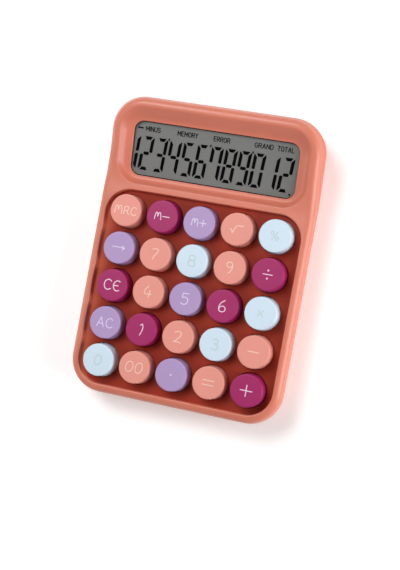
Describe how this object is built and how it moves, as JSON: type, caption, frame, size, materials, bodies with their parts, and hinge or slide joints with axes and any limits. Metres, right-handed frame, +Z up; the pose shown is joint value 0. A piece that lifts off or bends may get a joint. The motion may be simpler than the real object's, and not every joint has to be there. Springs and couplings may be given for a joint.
{
  "type": "desk calculator",
  "caption": "Rounded desk calculator with a recessed pad of round sprung keys, a raised head with a tilted display in a shallow bowl, and a sliding battery door underneath.",
  "frame": {"origin": "middle of the footprint, on the surface that the rubber feet stand on", "axes": "+Z up out of the keypad, +Y from the user towards the display head, +X to the right"},
  "size_m": [0.1092, 0.1482, 0.0285],
  "materials": {
    "case_plastic": "satin, fine moulded texture",
    "key_peach": "satin",
    "key_magenta": "satin",
    "key_lilac": "satin",
    "key_blue": "satin",
    "foot_rubber": "matt",
    "mat_silicone": "translucent silicone",
    "pill_carbon": "matt",
    "board_green": "solder mask",
    "chip_epoxy": "satin",
    "component_ceramic": "matt",
    "screw_steel": "zinc plated",
    "lens_clear": "clear, polished",
    "lcd_grey": "satin polariser",
    "reflector_white": "matt",
    "holder_black": "matt",
    "ribbon_amber": "satin film",
    "battery_label": "printed sleeve",
    "contact_nickel": "nickel plated"
  },
  "bodies": {
    "case": {"top_cover": "case_plastic", "bottom_cover": "case_plastic", "rubber_feet": "foot_rubber", "dome_mat": "mat_silicone", "contact_pills": "pill_carbon", "main_board": "board_green", "controller_chip": "chip_epoxy", "board_components": "component_ceramic", "board_screws": "screw_steel", "case_screws": "screw_steel", "lcd_screws": "screw_steel", "display_lens": "lens_clear", "lcd_panel": "lcd_grey", "lcd_reflector": "reflector_white", "lcd_holder": "holder_black", "lcd_ribbon": "ribbon_amber", "battery": "battery_label", "battery_contact_positive": "contact_nickel", "battery_contact_negative": "contact_nickel", "battery_spring": "contact_nickel"},
    "battery_door": {"battery_door": "case_plastic"},
    "key_memory_recall": {"key_memory_recall": "key_peach"},
    "key_memory_minus": {"key_memory_minus": "key_magenta"},
    "key_memory_plus": {"key_memory_plus": "key_lilac"},
    "key_root": {"key_root": "key_peach"},
    "key_percent": {"key_percent": "key_blue"},
    "key_backspace": {"key_backspace": "key_lilac"},
    "key_7": {"key_7": "key_peach"},
    "key_8": {"key_8": "key_blue"},
    "key_9": {"key_9": "key_peach"},
    "key_divide": {"key_divide": "key_magenta"},
    "key_ce": {"key_ce": "key_magenta"},
    "key_4": {"key_4": "key_peach"},
    "key_5": {"key_5": "key_lilac"},
    "key_6": {"key_6": "key_magenta"},
    "key_multiply": {"key_multiply": "key_blue"},
    "key_ac": {"key_ac": "key_lilac"},
    "key_1": {"key_1": "key_magenta"},
    "key_2": {"key_2": "key_peach"},
    "key_3": {"key_3": "key_blue"},
    "key_minus": {"key_minus": "key_peach"},
    "key_0": {"key_0": "key_blue"},
    "key_00": {"key_00": "key_peach"},
    "key_point": {"key_point": "key_lilac"},
    "key_equals": {"key_equals": "key_peach"},
    "key_plus": {"key_plus": "key_magenta"}
  },
  "joints": [
    {"name": "battery_door_slide", "type": "slide", "parent": "case", "child": "battery_door", "axis": [0, 1, 0], "range_m": [0, 0.01]},
    {"name": "key_memory_recall_press", "type": "slide", "parent": "case", "child": "key_memory_recall", "axis": [0, 0, -1], "range_m": [0, 0.0025], "stiffness_N_per_m": 200, "springref_m": -0.001, "deforming": ["dome_mat", "contact_pills"]},
    {"name": "key_memory_minus_press", "type": "slide", "parent": "case", "child": "key_memory_minus", "axis": [0, 0, -1], "range_m": [0, 0.0025], "stiffness_N_per_m": 200, "springref_m": -0.001, "deforming": ["dome_mat", "contact_pills"]},
    {"name": "key_memory_plus_press", "type": "slide", "parent": "case", "child": "key_memory_plus", "axis": [0, 0, -1], "range_m": [0, 0.0025], "stiffness_N_per_m": 200, "springref_m": -0.001, "deforming": ["dome_mat", "contact_pills"]},
    {"name": "key_root_press", "type": "slide", "parent": "case", "child": "key_root", "axis": [0, 0, -1], "range_m": [0, 0.0025], "stiffness_N_per_m": 200, "springref_m": -0.001, "deforming": ["dome_mat", "contact_pills"]},
    {"name": "key_percent_press", "type": "slide", "parent": "case", "child": "key_percent", "axis": [0, 0, -1], "range_m": [0, 0.0025], "stiffness_N_per_m": 200, "springref_m": -0.001, "deforming": ["dome_mat", "contact_pills"]},
    {"name": "key_backspace_press", "type": "slide", "parent": "case", "child": "key_backspace", "axis": [0, 0, -1], "range_m": [0, 0.0025], "stiffness_N_per_m": 200, "springref_m": -0.001, "deforming": ["dome_mat", "contact_pills"]},
    {"name": "key_7_press", "type": "slide", "parent": "case", "child": "key_7", "axis": [0, 0, -1], "range_m": [0, 0.0025], "stiffness_N_per_m": 200, "springref_m": -0.001, "deforming": ["dome_mat", "contact_pills"]},
    {"name": "key_8_press", "type": "slide", "parent": "case", "child": "key_8", "axis": [0, 0, -1], "range_m": [0, 0.0025], "stiffness_N_per_m": 200, "springref_m": -0.001, "deforming": ["dome_mat", "contact_pills"]},
    {"name": "key_9_press", "type": "slide", "parent": "case", "child": "key_9", "axis": [0, 0, -1], "range_m": [0, 0.0025], "stiffness_N_per_m": 200, "springref_m": -0.001, "deforming": ["dome_mat", "contact_pills"]},
    {"name": "key_divide_press", "type": "slide", "parent": "case", "child": "key_divide", "axis": [0, 0, -1], "range_m": [0, 0.0025], "stiffness_N_per_m": 200, "springref_m": -0.001, "deforming": ["dome_mat", "contact_pills"]},
    {"name": "key_ce_press", "type": "slide", "parent": "case", "child": "key_ce", "axis": [0, 0, -1], "range_m": [0, 0.0025], "stiffness_N_per_m": 200, "springref_m": -0.001, "deforming": ["dome_mat", "contact_pills"]},
    {"name": "key_4_press", "type": "slide", "parent": "case", "child": "key_4", "axis": [0, 0, -1], "range_m": [0, 0.0025], "stiffness_N_per_m": 200, "springref_m": -0.001, "deforming": ["dome_mat", "contact_pills"]},
    {"name": "key_5_press", "type": "slide", "parent": "case", "child": "key_5", "axis": [0, 0, -1], "range_m": [0, 0.0025], "stiffness_N_per_m": 200, "springref_m": -0.001, "deforming": ["dome_mat", "contact_pills"]},
    {"name": "key_6_press", "type": "slide", "parent": "case", "child": "key_6", "axis": [0, 0, -1], "range_m": [0, 0.0025], "stiffness_N_per_m": 200, "springref_m": -0.001, "deforming": ["dome_mat", "contact_pills"]},
    {"name": "key_multiply_press", "type": "slide", "parent": "case", "child": "key_multiply", "axis": [0, 0, -1], "range_m": [0, 0.0025], "stiffness_N_per_m": 200, "springref_m": -0.001, "deforming": ["dome_mat", "contact_pills"]},
    {"name": "key_ac_press", "type": "slide", "parent": "case", "child": "key_ac", "axis": [0, 0, -1], "range_m": [0, 0.0025], "stiffness_N_per_m": 200, "springref_m": -0.001, "deforming": ["dome_mat", "contact_pills"]},
    {"name": "key_1_press", "type": "slide", "parent": "case", "child": "key_1", "axis": [0, 0, -1], "range_m": [0, 0.0025], "stiffness_N_per_m": 200, "springref_m": -0.001, "deforming": ["dome_mat", "contact_pills"]},
    {"name": "key_2_press", "type": "slide", "parent": "case", "child": "key_2", "axis": [0, 0, -1], "range_m": [0, 0.0025], "stiffness_N_per_m": 200, "springref_m": -0.001, "deforming": ["dome_mat", "contact_pills"]},
    {"name": "key_3_press", "type": "slide", "parent": "case", "child": "key_3", "axis": [0, 0, -1], "range_m": [0, 0.0025], "stiffness_N_per_m": 200, "springref_m": -0.001, "deforming": ["dome_mat", "contact_pills"]},
    {"name": "key_minus_press", "type": "slide", "parent": "case", "child": "key_minus", "axis": [0, 0, -1], "range_m": [0, 0.0025], "stiffness_N_per_m": 200, "springref_m": -0.001, "deforming": ["dome_mat", "contact_pills"]},
    {"name": "key_0_press", "type": "slide", "parent": "case", "child": "key_0", "axis": [0, 0, -1], "range_m": [0, 0.0025], "stiffness_N_per_m": 200, "springref_m": -0.001, "deforming": ["dome_mat", "contact_pills"]},
    {"name": "key_00_press", "type": "slide", "parent": "case", "child": "key_00", "axis": [0, 0, -1], "range_m": [0, 0.0025], "stiffness_N_per_m": 200, "springref_m": -0.001, "deforming": ["dome_mat", "contact_pills"]},
    {"name": "key_point_press", "type": "slide", "parent": "case", "child": "key_point", "axis": [0, 0, -1], "range_m": [0, 0.0025], "stiffness_N_per_m": 200, "springref_m": -0.001, "deforming": ["dome_mat", "contact_pills"]},
    {"name": "key_equals_press", "type": "slide", "parent": "case", "child": "key_equals", "axis": [0, 0, -1], "range_m": [0, 0.0025], "stiffness_N_per_m": 200, "springref_m": -0.001, "deforming": ["dome_mat", "contact_pills"]},
    {"name": "key_plus_press", "type": "slide", "parent": "case", "child": "key_plus", "axis": [0, 0, -1], "range_m": [0, 0.0025], "stiffness_N_per_m": 200, "springref_m": -0.001, "deforming": ["dome_mat", "contact_pills"]}
  ]
}
